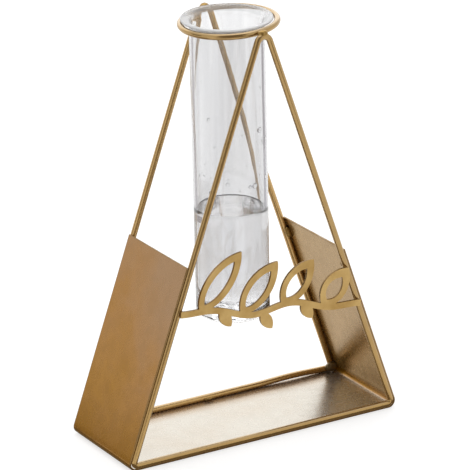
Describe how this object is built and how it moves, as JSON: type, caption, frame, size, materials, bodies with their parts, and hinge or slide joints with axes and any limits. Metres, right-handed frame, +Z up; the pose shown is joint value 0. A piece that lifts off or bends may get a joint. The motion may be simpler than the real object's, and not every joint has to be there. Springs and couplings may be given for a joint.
{
  "type": "bud vase with metal stand",
  "caption": "Glass tube vase hung by its flared lip in a wire ring on a triangular wire stand with a folded sheet base and a cut vine across the front.",
  "frame": {"origin": "middle of the sheet cradle's flat underside, on the surface that the vase stands on", "axes": "+Z up, +X along the base to the right seen from the front, front with the vine towards -Y"},
  "size_m": [0.1258, 0.049, 0.1725],
  "materials": {
    "gold_lacquered_iron": "satin gold lacquer",
    "pale_gold_lacquered_iron": "matt pale gold lacquer",
    "weld_metal": "rough weld bead under gold lacquer",
    "clear_glass": "clear soda glass"
  },
  "bodies": {
    "stand": {"front_wire_frame": "gold_lacquered_iron", "rear_wire_frame": "gold_lacquered_iron", "tube_ring": "gold_lacquered_iron", "sheet_cradle": "gold_lacquered_iron", "vine_ornament": "pale_gold_lacquered_iron", "front_apex_weld": "weld_metal", "rear_apex_weld": "weld_metal", "front_base_weld": "weld_metal", "rear_base_weld": "weld_metal", "front_left_wing_weld": "weld_metal", "front_right_wing_weld": "weld_metal", "rear_left_wing_weld": "weld_metal", "rear_right_wing_weld": "weld_metal", "rear_corner_weld": "weld_metal", "vine_left_weld": "weld_metal", "vine_right_weld": "weld_metal"},
    "tube": {"glass_tube": "clear_glass"}
  },
  "joints": [
    {"name": "tube_lift", "type": "slide", "parent": "stand", "child": "tube", "axis": [-0.0175, 0, 0.9998], "range_m": [0, 0.13]}
  ]
}
